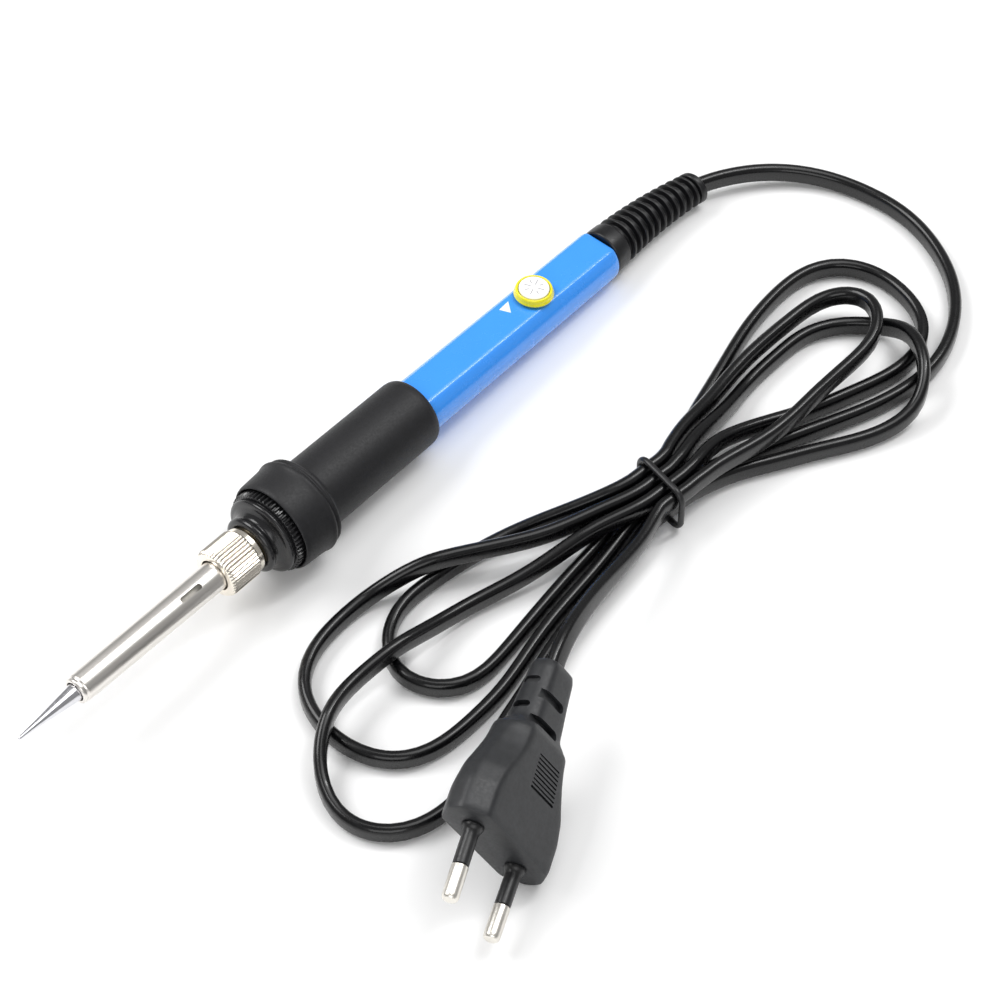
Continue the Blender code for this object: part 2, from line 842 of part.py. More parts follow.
def flex(name, points, parent, paint):
    """A flat flex: two round edges joined by a flat web, standing on one edge."""
    data = bpy.data.curves.new(name, "CURVE")
    data.dimensions = "3D"
    data.twist_mode = "Z_UP"
    data.fill_mode = "FULL"
    data.bevel_depth = FLEX_WIDE / 2 * MM
    data.bevel_resolution = 1
    data.extrude = (FLEX_TALL - FLEX_WIDE) / 2 * MM
    data.use_fill_caps = True
    spline = data.splines.new("POLY")
    spline.points.add(len(points) - 1)
    for spot, point in zip(spline.points, points):
        spot.co = (*(np.array(point) * MM), 1.0)
    return place(bpy.data.objects.new(name, data), parent, PARTS, paint)


route, held = route_points()
cord_path = evenly(settle(route, held), 1.0)
flex("mains_cord", thin_out(cord_path), origin, FLEX)


def band(name, parent, paint):
    """A closed round band that wraps the bundle of cord."""
    half_wide = 5.6 + FLEX_WIDE / 2 + GAP + TIE_R
    low = LOW - FLEX_TALL / 2 - GAP - TIE_R
    high = HIGH + FLEX_TALL / 2 + GAP + TIE_R
    corner = 3.0
    data = bpy.data.curves.new(name, "CURVE")
    data.dimensions = "3D"
    data.bevel_depth = TIE_R * MM
    data.bevel_resolution = 2
    spline = data.splines.new("POLY")
    ring = []
    middle = (low + high) / 2
    centres = [(1, 1, 0), (-1, 1, 90), (-1, -1, 180), (1, -1, 270)]
    for sy, sz, begin in centres:
        for i in range(5):
            angle = math.radians(begin + 22.5 * i)
            y = sy * (half_wide - corner) + corner * math.cos(angle)
            z = middle + sz * ((high - low) / 2 - corner) + corner * math.sin(angle)
            ring.append((y, z))
    spline.points.add(len(ring) - 1)
    for spot, (y, z) in zip(spline.points, ring):
        at = TIE_CENTRE + TIE_SIDE * y
        spot.co = (at.x * MM, at.y * MM, z * MM, 1.0)
    spline.use_cyclic_u = True
    return place(bpy.data.objects.new(name, data), parent, PARTS, paint)


band("cord_tie", origin, FLEX)
bpy.context.view_layer.update()
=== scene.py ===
import math

import bmesh
import bpy
import numpy as np
from mathutils import Matrix, Vector


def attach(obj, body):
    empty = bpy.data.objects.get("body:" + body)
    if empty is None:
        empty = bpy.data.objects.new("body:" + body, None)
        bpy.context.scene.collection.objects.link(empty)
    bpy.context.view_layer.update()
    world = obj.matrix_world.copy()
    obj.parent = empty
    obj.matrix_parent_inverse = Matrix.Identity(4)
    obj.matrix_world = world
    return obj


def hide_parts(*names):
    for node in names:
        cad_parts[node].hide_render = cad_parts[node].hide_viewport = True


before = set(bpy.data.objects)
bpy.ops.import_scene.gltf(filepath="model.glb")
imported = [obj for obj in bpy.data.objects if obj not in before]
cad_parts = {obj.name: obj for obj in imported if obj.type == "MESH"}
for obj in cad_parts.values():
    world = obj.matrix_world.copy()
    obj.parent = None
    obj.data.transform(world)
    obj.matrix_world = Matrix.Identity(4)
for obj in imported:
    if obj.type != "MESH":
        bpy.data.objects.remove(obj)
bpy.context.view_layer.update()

MM = 0.001

# ------------------------------------------------------------------ the CAD's own placing
COLLAR_R, COLLAR_AT = 13.15, 3.9
HANDLE_FRONT_R, HANDLE_REAR_R = 7.7, 7.1
HANDLE_FRONT, HANDLE_REAR = 25.3, 120.5
FLAT_FRONT, FLAT_FRONT_H, FLAT_SLOPE = 47.0, 6.15, -0.0087
KNOB_AT = 93.2
TILT = math.atan((COLLAR_R - HANDLE_REAR_R) / (HANDLE_REAR - COLLAR_AT))
AXIS_H = 0.02 + COLLAR_AT * math.sin(TILT) + COLLAR_R * math.cos(TILT)
MIDDLE = 0.5 * (-90.4 + 157.4) * math.cos(TILT) + 0.12
ORIGIN = Matrix.Translation(Vector((-MIDDLE, 0, 0)) * MM)
IRON = ORIGIN @ Matrix.Translation((0, 0, AXIS_H * MM)) @ Matrix.Rotation(TILT, 4, "Y")

PLUG_FACE = Vector((-40.1, -101.2, 15.8))
PIN_WAY = Vector((-0.910, -0.401, -0.102)).normalized()
ACROSS = Vector((0.285, -0.429, -0.857))
ACROSS = (ACROSS - ACROSS.dot(PIN_WAY) * PIN_WAY).normalized()
WIDE_FACE = PIN_WAY.cross(ACROSS)
PLUG = (
    ORIGIN
    @ Matrix.Translation(PLUG_FACE * MM)
    @ Matrix((PIN_WAY, ACROSS, WIDE_FACE)).transposed().to_4x4()
)
PLUG_LENGTH = 47.5

# ------------------------------------------------------------------ camera
LENS, SENSOR = 118.8, 36.0
CAMERA_AT = Vector((-340.3 - MIDDLE, -359.8, 650.0)) * MM
LOOKS_AT = Vector((45.5 - MIDDLE, -29.6, 0.0)) * MM


def add_camera():
    data = bpy.data.cameras.new("camera")
    data.lens = LENS
    data.sensor_width = SENSOR
    data.clip_end = 20.0
    made = bpy.data.objects.new("camera", data)
    made.location = CAMERA_AT
    made.rotation_euler = (LOOKS_AT - CAMERA_AT).to_track_quat("-Z", "Y").to_euler()
    bpy.context.scene.collection.objects.link(made)
    bpy.context.scene.camera = made


add_camera()

# ------------------------------------------------------------------ materials

def surface(
    name,
    colour,
    roughness,
    metallic=0.0,
    mottle=0.12,
    mottle_size=4.0,
    uneven=0.08,
    grain=0.35,
    depth=0.004,
    stretch=(1.0, 1.0, 1.0),
    coat=0.0,
    edge=0.0,
    specular=0.5,
    transmission=0.0,
    scratch=0.0,
):
    """A procedural finish: sizes in millimetres, depth of the grain too."""
    made = bpy.data.materials.new(name)
    made.use_nodes = True
    tree = made.node_tree
    nodes, links = tree.nodes, tree.links
    bsdf = nodes["Principled BSDF"]
    bsdf.inputs["Metallic"].default_value = metallic
    bsdf.inputs["Coat Weight"].default_value = coat
    bsdf.inputs["Coat Roughness"].default_value = 0.08
    bsdf.inputs["Specular IOR Level"].default_value = specular
    bsdf.inputs["Transmission Weight"].default_value = transmission
    place = nodes.new("ShaderNodeTexCoord")
    mapping = nodes.new("ShaderNodeMapping")
    mapping.inputs["Scale"].default_value = stretch
    links.new(place.outputs["Object"], mapping.inputs["Vector"])

    def noise(size, detail, rough=0.5):
        texture = nodes.new("ShaderNodeTexNoise")
        texture.inputs["Scale"].default_value = 1000.0 / size
        texture.inputs["Detail"].default_value = detail
        texture.inputs["Roughness"].default_value = rough
        links.new(mapping.outputs["Vector"], texture.inputs["Vector"])
        return texture.outputs["Fac"]

    ramp = nodes.new("ShaderNodeValToRGB")
    ramp.color_ramp.elements[0].position = 0.3
    ramp.color_ramp.elements[1].position = 0.7
    ramp.color_ramp.elements[0].color = (*[c * (1 - mottle) for c in colour], 1)
    ramp.color_ramp.elements[1].color = (*[min(1, c * (1 + mottle)) for c in colour], 1)
    links.new(noise(mottle_size, 3.0), ramp.inputs["Fac"])
    tint = ramp.outputs["Color"]
    if edge:
        # Painted highlight: convex edges, found by their pointiness, are painted lighter.
        geometry = nodes.new("ShaderNodeNewGeometry")
        painted_edge_highlight = nodes.new("ShaderNodeMapRange")
        painted_edge_highlight.inputs["From Min"].default_value = 0.52
        painted_edge_highlight.inputs["From Max"].default_value = 0.60
        painted_edge_highlight.inputs["To Max"].default_value = edge
        links.new(geometry.outputs["Pointiness"], painted_edge_highlight.inputs["Value"])
        blend = nodes.new("ShaderNodeMixRGB")
        blend.inputs["Color2"].default_value = (*[min(1, c * 2.2 + 0.05) for c in colour], 1)
        links.new(painted_edge_highlight.outputs["Result"], blend.inputs["Fac"])
        links.new(tint, blend.inputs["Color1"])
        tint = blend.outputs["Color"]
    links.new(tint, bsdf.inputs["Base Color"])
    spread = nodes.new("ShaderNodeMapRange")
    spread.inputs["From Min"].default_value = 0.3
    spread.inputs["From Max"].default_value = 0.7
    spread.inputs["To Min"].default_value = max(0.02, roughness - uneven)
    spread.inputs["To Max"].default_value = min(1.0, roughness + uneven)
    links.new(noise(mottle_size * 0.4, 4.0, 0.6), spread.inputs["Value"])
    links.new(spread.outputs["Result"], bsdf.inputs["Roughness"])
    bump = nodes.new("ShaderNodeBump")
    bump.inputs["Distance"].default_value = depth * MM
    bump.inputs["Strength"].default_value = 1.0
    links.new(noise(grain, 5.0, 0.62), bump.inputs["Height"])
    links.new(bump.outputs["Normal"], bsdf.inputs["Normal"])
    if scratch:
        # Fine marks from use, crossing the surface both ways.
        waves = nodes.new("ShaderNodeTexWave")
        waves.inputs["Scale"].default_value = 130.0
        waves.inputs["Distortion"].default_value = 14.0
        waves.inputs["Detail"].default_value = 4.0
        links.new(place.outputs["Object"], waves.inputs["Vector"])
        marks = nodes.new("ShaderNodeBump")
        marks.inputs["Distance"].default_value = scratch * MM
        links.new(waves.outputs["Fac"], marks.inputs["Height"])
        links.new(bump.outputs["Normal"], marks.inputs["Normal"])
        links.new(marks.outputs["Normal"], bsdf.inputs["Normal"])
    return made


BRUSHED = (0.15, 1.0, 1.0)  # grain drawn out along the iron
TURNED = (1.0, 0.12, 0.12)  # grain drawn out round the iron
CHROME = surface("tip_chrome", (0.74, 0.74, 0.77), 0.16, 1.0, 0.06, 3.0, 0.04, 0.5, 0.0012, TURNED)
SATIN = surface("barrel_satin", (0.80, 0.77, 0.73), 0.30, 1.0, 0.03, 5.0, 0.02, 0.25, 0.0008, BRUSHED)
CHAMPAGNE = surface(
    "nut_champagne", (0.93, 0.87, 0.77), 0.22, 1.0, 0.05, 2.0, 0.04, 0.3, 0.001, BRUSHED, edge=0.3
)
NICKEL = surface("pin_nickel", (0.80, 0.77, 0.71), 0.34, 1.0, 0.04, 2.0, 0.03, 0.3, 0.0004)
BRASS = surface("bush_brass", (0.62, 0.52, 0.36), 0.35, 1.0, stretch=TURNED)
NECK = surface("neck_phenolic", (0.010, 0.010, 0.011), 0.22, 0.0, 0.2, 3.0, 0.05, 0.6, 0.003, edge=0.10)
RUBBER = surface(
    "grip_rubber", (0.007, 0.007, 0.0085), 0.55, 0.0, 0.25, 1.2, 0.08, 0.42, 0.022, edge=0.10, specular=0.45
)
BLUE = surface("handle_blue", (0.045, 0.31, 0.94), 0.26, 0.0, 0.015, 9.0, 0.03, 1.6, 0.0003, coat=0.4)
YELLOW = surface(
    "knob_yellow", (0.93, 0.84, 0.02), 0.25, 0.0, 0.04, 2.0, 0.05, 0.5, 0.001, coat=0.3, transmission=0.08
)
WHITE = surface("disc_white", (0.92, 0.92, 0.91), 0.40, 0.0, 0.02, 1.5, 0.05, 0.3, 0.0006)
PAINT = surface("print_white", (0.78, 0.84, 0.90), 0.5, 0.0, 0.04, 0.6, 0.05, 0.2, 0.001)
TICK = surface("print_grey", (0.34, 0.34, 0.36), 0.5, 0.0, 0.10, 0.4, 0.05, 0.2, 0.001)
BOOT = surface("boot_rubber", (0.003, 0.003, 0.004), 0.40, 0.0, 0.25, 1.5, 0.08, 0.5, 0.006, edge=0.25)
FLEX = surface(
    "flex_jacket", (0.002, 0.002, 0.0025), 0.28, 0.0, 0.25, 6.0, 0.05, 0.8, 0.003, coat=0.3, specular=0.3
)
BAND = surface("tie_rubber", (0.006, 0.006, 0.007), 0.40, 0.0, 0.2, 1.0, 0.08, 0.4, 0.004)
MOULDED = surface(
    "plug_moulded", (0.014, 0.015, 0.017), 0.46, 0.0, 0.20, 2.0, 0.06, 0.34, 0.012, edge=0.20
)
SLEEVE = surface("pin_sleeve", (0.012, 0.012, 0.013), 0.36, 0.0, 0.2, 1.5, 0.06, 0.4, 0.004)
CERAMIC = surface("heater_ceramic", (0.80, 0.77, 0.70), 0.65, 0.0, 0.08, 1.0, 0.08, 0.3, 0.006)
BOARD = surface("board_mask", (0.03, 0.24, 0.09), 0.35, 0.0, 0.15, 2.0, 0.05, 0.6, 0.004, coat=0.3)
CASE = surface("component_case", (0.05, 0.05, 0.055), 0.5, 0.0, 0.15, 1.0, 0.08, 0.3, 0.006)
FILM = surface("capacitor_film", (0.30, 0.05, 0.03), 0.35, 0.0, 0.10, 1.0, 0.05, 0.4, 0.003)
WIRE = surface("wire_sleeve", (0.66, 0.63, 0.55), 0.7, 0.0, 0.20, 0.5, 0.08, 0.25, 0.020, (0.3, 1, 1))

# ------------------------------------------------------------------ mesh building


def new_object(name, mesh, matrix, paint, body, replaced=()):
    made = bpy.data.objects.new(name, mesh)
    bpy.context.scene.collection.objects.link(made)
    made.matrix_world = matrix
    made.data.materials.append(paint)
    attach(made, body)
    if replaced:
        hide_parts(*replaced)
    return made


def skin(name, rings, loop=False, sharp=42.0):
    """Skins rings of points, in millimetres.

    A loop joins the last ring to the first; otherwise both ends are capped.
    """
    rings = np.asarray(rings, float)
    count, around = rings.shape[:2]
    vertices = rings.reshape(-1, 3) * MM
    here = np.arange(around)
    after = (here + 1) % around
    faces = []
    for i in range(count if loop else count - 1):
        a, b = i * around, ((i + 1) % count) * around
        faces += np.stack([a + here, a + after, b + after, b + here], 1).tolist()
    if not loop:
        faces.append(here[::-1].tolist())
        faces.append(((count - 1) * around + here).tolist())
    mesh = bpy.data.meshes.new(name)
    mesh.from_pydata(vertices.tolist(), [], faces)
    work = bmesh.new()
    work.from_mesh(mesh)
    bmesh.ops.recalc_face_normals(work, faces=work.faces)
    if loop and work.calc_volume(signed=True) < 0:
        bmesh.ops.reverse_faces(work, faces=work.faces)
    work.to_mesh(mesh)
    work.free()
    mesh.shade_smooth()
    mesh.set_sharp_from_angle(angle=math.radians(sharp))
    return mesh


def soften(outline, size, closed):
    """Rounds every corner of an outline with a short three-point arc."""
    points = [np.array(p, float) for p in outline]
    result = []
    last = len(points) - 1
    for i, point in enumerate(points):
        if not closed and i in (0, last):
            result.append(point)
            continue
        before, after = points[i - 1], points[(i + 1) % len(points)]
        a, b = before - point, after - point
        reach_a = min(size, 0.4 * np.linalg.norm(a))
        reach_b = min(size, 0.4 * np.linalg.norm(b))
        start = point + a / np.linalg.norm(a) * reach_a
        end = point + b / np.linalg.norm(b) * reach_b
        for t in (0.0, 0.33, 0.67, 1.0):
            result.append((1 - t) ** 2 * start + 2 * t * (1 - t) * point + t * t * end)
    return result


def revolve(outline, steps, shape=None, lengthwise=True):
    """Rings round the iron's axis (or a vertical one) for (radius, station) points."""
    angle = np.linspace(0, 2 * np.pi, steps, endpoint=False)
    rings = []
    for r, s in outline:
        radius = np.full(steps, max(r, 0.004))
        if shape is not None:
            radius = np.maximum(radius - shape(r, s, angle), 0.004)
        if lengthwise:
            columns = [np.full(steps, s), radius * np.sin(angle), radius * np.cos(angle)]
        else:
            columns = [radius * np.cos(angle), radius * np.sin(angle), np.full(steps, s)]
        rings.append(np.stack(columns, 1))
    return rings


def turned(
    name,
    outline,
    body,
    paint,
    replaced,
    size=0.15,
    steps=128,
    shape=None,
    matrix=IRON,
    along=True,
):
    """A turned piece from its (radius, station) outline, closed unless it starts on the axis."""
    closed = outline[0][0] > 0
    rings = revolve(soften(outline, size, closed), steps, shape, along)
    mesh = skin(name, rings, loop=closed)
    return new_object(name, mesh, matrix, paint, body, replaced)


def subtract(target, cutter, name):
    step = target.modifiers.new(name, "BOOLEAN")
    step.operation = "DIFFERENCE"
    step.solver = "EXACT"
    step.object = cutter
    graph = bpy.context.evaluated_depsgraph_get()
    mesh = bpy.data.meshes.new_from_object(target.evaluated_get(graph))
    target.modifiers.clear()
    mesh.shade_smooth()
    mesh.set_sharp_from_angle(angle=math.radians(38))
    target.data = mesh
    bpy.data.objects.remove(cutter)


def cutter_object(name, mesh, matrix):
    made = bpy.data.objects.new(name, mesh)
    bpy.context.scene.collection.objects.link(made)
    made.matrix_world = matrix
    bpy.context.view_layer.update()
    return made


def lozenge(length, width, depth, steps=24):
    """Rings of a slot with round ends, long in x, cut down along z, centred on the origin."""
    straight = (length - width) / 2
    section = []
    for i in range(steps):
        angle = 2 * math.pi * (i + 0.5) / steps
        x = width / 2 * math.cos(angle) + math.copysign(straight, math.cos(angle))
        section.append((x, width / 2 * math.sin(angle)))
    return [[(x, y, z) for x, y in section] for z in (-depth / 2, depth / 2)]


# ------------------------------------------------------------------ tip, barrel and nut
turned(
    "pencil_tip",
    [
        (0, -90.4),
        (0.25, -90.38),
        (0.45, -90.05),
        (1.05, -83.2),
        (2.28, -72.6),
        (2.3, -70.6),
        (3.25, -69.9),
        (3.25, -46.0),
        (2.15, -46.0),
        (2.15, -68.5),
        (0, -68.5),
    ],
    "tip",
    CHROME,
    ["soldering_tip"],
    size=0.5,
    steps=96,
)
barrel = turned(
    "barrel_tube",
    [
        (2.6, -72.2),
        (3.1, -72.25),
        (3.45, -72.0),
        (3.52, -71.6),
        (3.44, -71.1),
        (3.72, -70.7),
        (3.9, -17.8),
        (5.15, -17.8),
        (5.15, -16.9),
        (3.55, -16.9),
        (3.55, -70.1),
        (2.6, -70.9),
    ],
    "barrel",
    SATIN,
    ["barrel_sleeve"],
    size=0.18,
    steps=160,
)
SLOT_TURN = Matrix.Rotation(math.radians(24), 4, "X")
slot_cutter = cutter_object(
    "vent_cutter",
    skin("vent_cutter", lozenge(6.9, 1.5, 4.0)),
    IRON @ Matrix.Translation((-34.8 * MM, 0, 0)) @ SLOT_TURN @ Matrix.Translation((0, 0, 4.5 * MM)),
)
subtract(barrel, slot_cutter, "vent")


FLUTES = 44


def nut_flutes(r, s, angle):
    """Straight flutes, fading out at the chamfer and before the plain rear ring."""
    if r < 5.6 or s < -25.2 or s > -15.75:
        return 0.0
    fade = min(1.0, (s + 25.2) / 0.8, (-15.75 - s) / 0.25)
    wave = 0.5 + 0.5 * np.cos(FLUTES * angle)
    return 0.34 * fade * wave**0.8


turned(
    "fluted_nut",
    [
        (4.3, -25.3),
        (5.3, -25.35),
        (6.0, -25.2),
        (6.55, -24.4),
        (6.65, -24.0),
        (6.65, -20.0),
        (6.65, -16.2),
        (6.6, -15.9),
        (6.2, -15.6),
        (6.2, -14.25),
        (6.05, -14.0),
        (5.5, -14.0),
        (5.5, -18.1),
        (4.3, -18.1),
    ],
    "nut",
    CHAMPAGNE,
    ["barrel_nut"],
    size=0.16,
    steps=FLUTES * 10,
    shape=nut_flutes,
)

# ------------------------------------------------------------------ neck
TEETH = 56


def ring_teeth(r, s, angle):
    """Square teeth on the ring in front of the grip."""
    if r < 10.6 or s < -7.6 or s > -3.6:
        return 0.0
    fade = np.clip(min((s + 7.6) / 0.25, (-3.6 - s) / 0.25), 0, 1)
    wave = np.clip(0.5 + 1.6 * np.cos(TEETH * angle), 0, 1)
    return 0.6 * fade * wave


turned(
    "neck_bell",
    [
        (5.5, -13.4),
        (6.7, -13.45),
        (7.45, -13.1),
        (7.75, -12.5),
        (7.6, -11.9),
        (7.1, -11.5),
        (6.95, -11.1),
        (7.15, -10.6),
        (7.9, -9.9),
        (8.9, -9.45),
        (9.7, -9.3),
        (10.3, -9.0),
        (10.45, -8.55),
        (10.3, -8.15),
        (9.9, -7.85),
        (9.9, -7.7),
        (11.05, -7.5),
        (11.2, -7.3),
        (11.2, -3.9),
        (10.9, -3.6),
        (7.0, -3.6),
        (7.0, 25.0),
        (5.5, 25.0),
    ],
    "iron",
    NECK,
    ["front_cap"],
    size=0.22,
    steps=TEETH * 8,
    shape=ring_teeth,
)

# ------------------------------------------------------------------ rubber grip
turned(
    "rubber_grip",
    [
        (7.3, -3.2),
        (11.5, -3.2),
        (11.5, -5.1),
        (11.62, -5.45),
        (11.9, -5.5),
        (12.15, -5.2),
        (12.35, -4.4),
        (12.5, -1.8),
        (12.62, 0.6),
        (12.75, 2.2),
        (12.9, 3.0),
        (13.12, 3.6),
        (13.15, 4.0),
        (12.95, 4.5),
        (12.4, 4.8),
        (12.15, 5.1),
        (12.2, 5.4),
        (12.5, 5.65),
        (12.48, 6.2),
        (12.1, 6.55),
        (11.2, 6.85),
        (10.2, 7.4),
        (9.75, 8.2),
        (9.68, 12.0),
        (9.6, 30.0),
        (9.58, 44.4),
        (9.4, 45.6),
        (9.0, 46.4),
        (8.5, 46.7),
        (8.0, 46.6),
        (8.0, 25.0),
        (7.3, 25.0),
    ],
    "iron",
    RUBBER,
    ["grip_sleeve"],
    size=0.3,
    steps=160,
)

# ------------------------------------------------------------------ blue handle


def handle_radius(s):
    share = (s - HANDLE_FRONT) / (HANDLE_REAR - HANDLE_FRONT)
    return HANDLE_FRONT_R + share * (HANDLE_REAR_R - HANDLE_FRONT_R)


def flat_height(s):
    return FLAT_FRONT_H + FLAT_SLOPE * (s - FLAT_FRONT)


def flattened(radius, height, angle, crisp=36.0):
    """A round section with its top cut flat, the edge of the cut a little rounded."""
    upward = np.maximum(np.cos(angle), 1e-3)
    plane = height / upward
    return (radius**-crisp + plane**-crisp) ** (-1 / crisp)


def handle_ring(s, radius, height, steps=240):
    angle = np.linspace(0, 2 * np.pi, steps, endpoint=False)
    r = flattened(radius, height, angle)
    return np.stack([np.full(steps, s), r * np.sin(angle), r * np.cos(angle)], 1)


handle_rings = []
for s, inset in ((HANDLE_FRONT, 0.5), (HANDLE_FRONT + 0.15, 0.15), (HANDLE_FRONT + 0.5, 0.0)):
    handle_rings.append(handle_ring(s, handle_radius(s) - inset, flat_height(s) - inset))
for s in np.linspace(30, HANDLE_REAR - 0.9, 60):
    handle_rings.append(handle_ring(s, handle_radius(s), flat_height(s)))
for s, inset in ((HANDLE_REAR - 0.5, 0.12), (HANDLE_REAR - 0.2, 0.35), (HANDLE_REAR, 0.8)):
    handle_rings.append(handle_ring(s, handle_radius(s) - inset, flat_height(s) - inset))
for s in np.linspace(HANDLE_REAR, HANDLE_FRONT, 12):
    handle_rings.append(handle_ring(s, 5.6, 4.6))
handle = new_object(
    "blue_handle",
    skin("blue_handle", handle_rings, loop=True),
    IRON,
    BLUE,
    "iron",
    ["handle_shell"],
)
knob_hole = cutter_object(
    "knob_hole",
    skin("knob_hole", revolve([(4.3, 3.9), (4.3, 9.0)], 96, None, False)),
    IRON @ Matrix.Translation((KNOB_AT * MM, 0, 0)),
)
subtract(handle, knob_hole, "knob_hole")


def flat_mark(name, corners, proud, paint):
    """A thin print on the handle's flat, from (station, side) corners."""
    rings = []
    for lift in (-0.05, proud):
        rings.append([(s, y, flat_height(s) + lift) for s, y in corners])
    return new_object(name, skin(name, rings), IRON, paint, "iron")


flat_mark(
    "pointer_triangle",
    [(83.2, 3.15), (84.5, 0.25), (87.1, 3.4)],
    0.03,
    PAINT,
)

# ------------------------------------------------------------------ knob
KNOB = IRON @ Matrix.Translation((KNOB_AT * MM, 0, 0))
turned(
    "knob_ring",
    [
        (0, 7.6),
        (4.15, 7.6),
        (4.2, 8.3),
        (4.42, 8.5),
        (4.7, 8.4),
        (4.92, 8.0),
        (5.05, 7.3),
        (5.25, 6.9),
        (5.25, 6.65),
        (5.0, 6.45),
        (4.0, 6.4),
        (4.0, 4.9),
        (1.8, 4.9),
        (1.8, 7.1),
        (0, 7.1),
    ],
    "knob",
    YELLOW,
    ["control_knob"],
    size=0.25,
    matrix=KNOB,
    along=False,
)
turned(
    "dial_disc",
    [
        (0, 8.82),
        (2.5, 8.81),
        (3.45, 8.76),
        (3.9, 8.62),
        (4.0, 8.35),
        (3.95, 7.8),
        (0, 7.8),
    ],
    "knob",
    WHITE,
    ["knob_disc"],
    size=0.2,
    steps=96,
    matrix=KNOB,
    along=False,
)


def dial_ticks():
    work = bmesh.new()
    for i in range(8):
        long = i % 2 == 0
        inner, outer = (0.9, 2.75) if long else (1.5, 2.6)
        bar = bmesh.ops.create_cube(work, size=1.0)["verts"]
        bmesh.ops.scale(work, vec=((outer - inner) * MM, 0.24 * MM, 0.05 * MM), verts=bar)
        shift = Matrix.Translation((0.5 * (inner + outer) * MM, 0, 8.81 * MM))
        turn = Matrix.Rotation(math.radians(20 + 45 * i), 4, "Z")
        bmesh.ops.transform(work, matrix=turn @ shift, verts=bar)
    mesh = bpy.data.meshes.new("dial_ticks")
    bmesh.ops.bevel(work, geom=work.edges[:], offset=0.01 * MM, segments=1, affect="EDGES")
    work.to_mesh(mesh)
    work.free()
    return new_object("dial_ticks", mesh, KNOB, TICK, "knob")


dial_ticks()

# ------------------------------------------------------------------ ribbed boot
BOOT_START, BOOT_END, BOOT_RIBS = 120.8, 157.4, 11
BOOT_STRAIGHT, BOOT_BEND = 130.0, 0.0036
RIB_FIRST, RIB_LAST = 126.0, 154.6
RIB_PITCH = (RIB_LAST - RIB_FIRST) / BOOT_RIBS


def boot_side(s):
    return -BOOT_BEND * max(0.0, s - BOOT_STRAIGHT) ** 2


def boot_piece():
    outline = [(3.2, 116.0), (4.0, 116.0), (4.3, 116.4), (4.3, BOOT_START)]
    outline += [(6.3, BOOT_START), (6.62, BOOT_START + 0.35), (6.6, 123.0)]
    outline += [(6.5, 125.4), (6.25, 125.8)]
    for rib in range(BOOT_RIBS):
        at = RIB_FIRST + rib * RIB_PITCH
        r = 6.35 - 1.6 * rib / (BOOT_RIBS - 1)
        outline += [
            (r - 1.45, at + 0.02 * RIB_PITCH),
            (r - 1.45, at + 0.58 * RIB_PITCH),
            (r - 0.10, at + 0.66 * RIB_PITCH),
            (r, at + 0.74 * RIB_PITCH),
            (r, at + 0.86 * RIB_PITCH),
            (r - 0.12, at + 0.94 * RIB_PITCH),
        ]
    outline += [(3.5, 154.65), (3.5, 155.3), (4.45, 155.45), (4.65, 155.8), (4.6, 157.0)]
    outline += [(4.3, BOOT_END), (3.35, BOOT_END)]
    outline += [(3.2, 157.0 - 4 * i) for i in range(10)]
    rings = revolve(soften(outline, 0.14, True), 96)
    for ring in rings:
        ring[:, 1] += boot_side(ring[0, 0])
    mesh = skin("boot_ribs", rings, loop=True)
    return new_object("boot_ribs", mesh, IRON, BOOT, "iron", ["cord_boot"])


boot_piece()

# ------------------------------------------------------------------ cord
FLEX_WIDE, FLEX_TALL = 3.2, 5.4
TIE_CENTRE = Vector((68.7, -62.0))
TIE_WAY = Vector((0.993, -0.115))
TIE_SIDE = Vector((0.115, 0.993))
TIE_R = 0.75
LOW, HIGH = 4.55, 10.35
GAP = 0.3
CORD_END = PLUG_FACE - (PLUG_LENGTH + GAP) * PIN_WAY
TIE_PASSES = [
    (0.0, LOW),
    (1.9, HIGH),
    (-3.7, LOW),
    (-1.8, HIGH),
    (3.7, LOW),
    (5.6, HIGH),
    (-5.5, HIGH),
]
LEAD = [
    (117.5, 0, 7.32),
    (131, 0, 6.62),
    (142, -0.5, 6.05),
    (149, -1.3, 5.7),
    (156, -2.6, 5.35),
    (163, -5.4, 5.1),
    (171, -10.6, 4.8),
    (178, -17.4, 4.2),
    (184, -27, 3.2),
    (187, -39, 2.8),
    (187, -51, 2.8),
    (183, -63, 2.8),
    (175, -75, 2.8),
    (164, -83, 2.8),
    (152, -87, 2.8),
    (141, -87, 2.8),
    (129, -84, 2.8),
    (115, -78, 2.8),
    (102, -72, 2.8),
    (88, -66, 3.4),
]
FRONT_LOOP = [
    (48, -63, 2.9),
    (36, -64, 2.8),
    (22, -65, 2.8),
    (11, -67, 2.8),
    (0, -69, 2.8),
    (-11, -69, 2.8),
    (-22, -68, 2.8),
    (-31, -63, 2.8),
    (-35, -54, 2.8),
    (-35, -44, 2.8),
    (-31, -34, 2.8),
    (-23, -28, 2.8),
    (-12, -26, 2.8),
    (1, -27, 3.5),
    (13, -33, 7.5),
    (26, -41, 8.5),
    (40, -50, 8.8),
    (55, -56, 9.6),
]
REAR_NEAR_LOOP = [
    (85, -58, 9.6),
    (97, -57, 6.5),
    (113, -54, 2.8),
    (125, -54, 2.8),
    (137, -56, 2.8),
    (146, -62, 2.8),
    (151, -70, 4.2),
    (150, -79, 8.2),
    (143, -88, 8.5),
    (134, -93, 5),
    (125, -91, 2.8),
    (116, -87, 2.8),
    (107, -81, 2.8),
    (98, -76, 2.8),
    (88, -70, 3.2),
]
